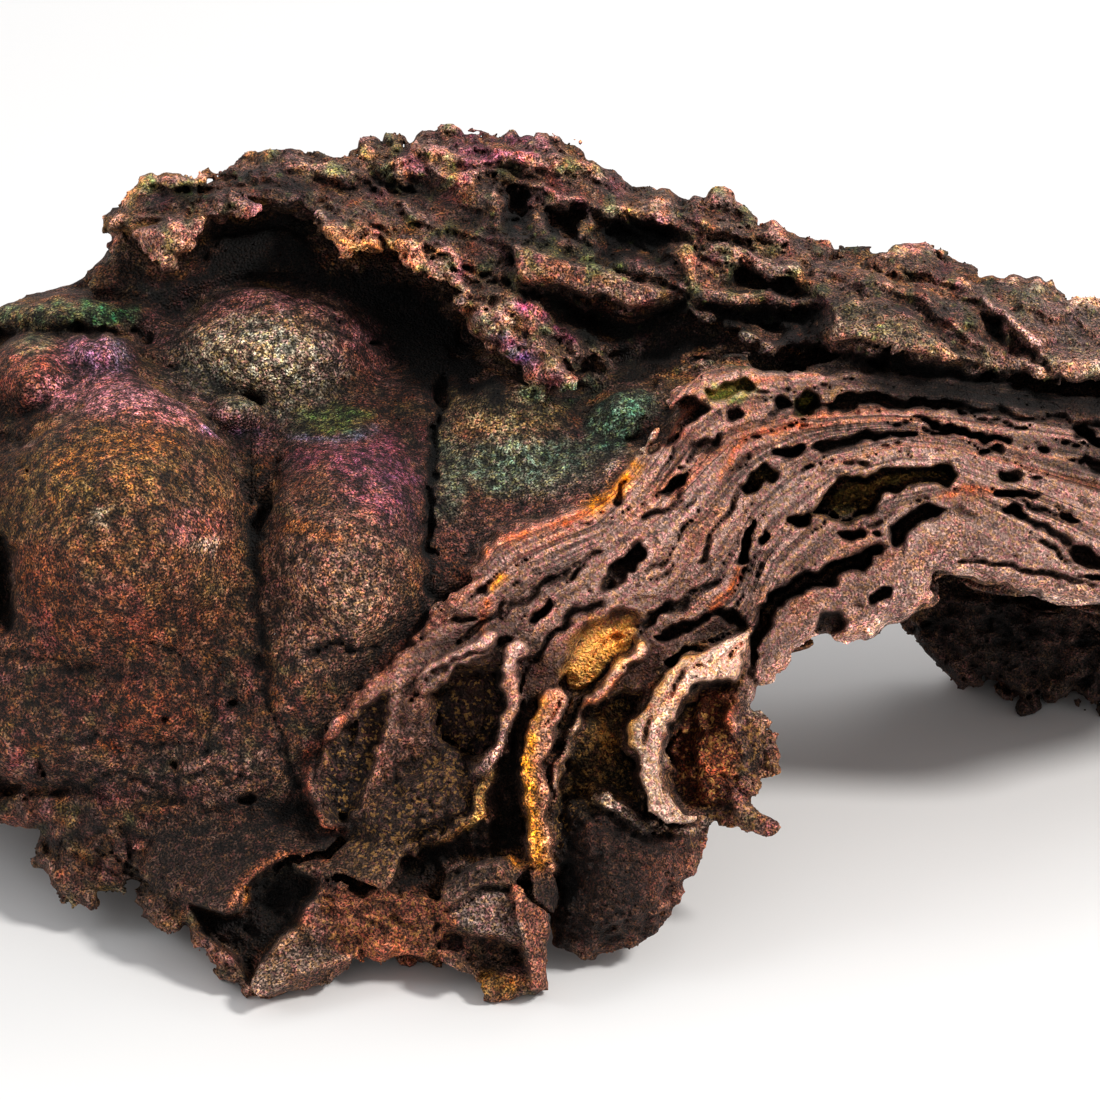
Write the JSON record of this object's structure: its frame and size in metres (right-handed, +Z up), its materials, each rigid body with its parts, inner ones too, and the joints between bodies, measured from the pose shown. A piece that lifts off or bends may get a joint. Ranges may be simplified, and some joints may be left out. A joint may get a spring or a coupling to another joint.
{
  "type": "rough goethite specimen",
  "caption": "Rough goethite: a dark brown lump with velvety iridescent domes under a ragged crust, broken open at one side to show its layers",
  "frame": {"origin": "on the floor, under the middle of the lump's bounding box", "axes": "+Z is up, +X runs along the broken limb, to the right of someone who faces the domes, and -Y faces that person"},
  "size_m": [0.1634, 0.0838, 0.061],
  "materials": {
    "goethite": "rough, velvety on the domes"
  },
  "bodies": {
    "root": {"rough_goethite": "goethite"}
  },
  "joints": []
}
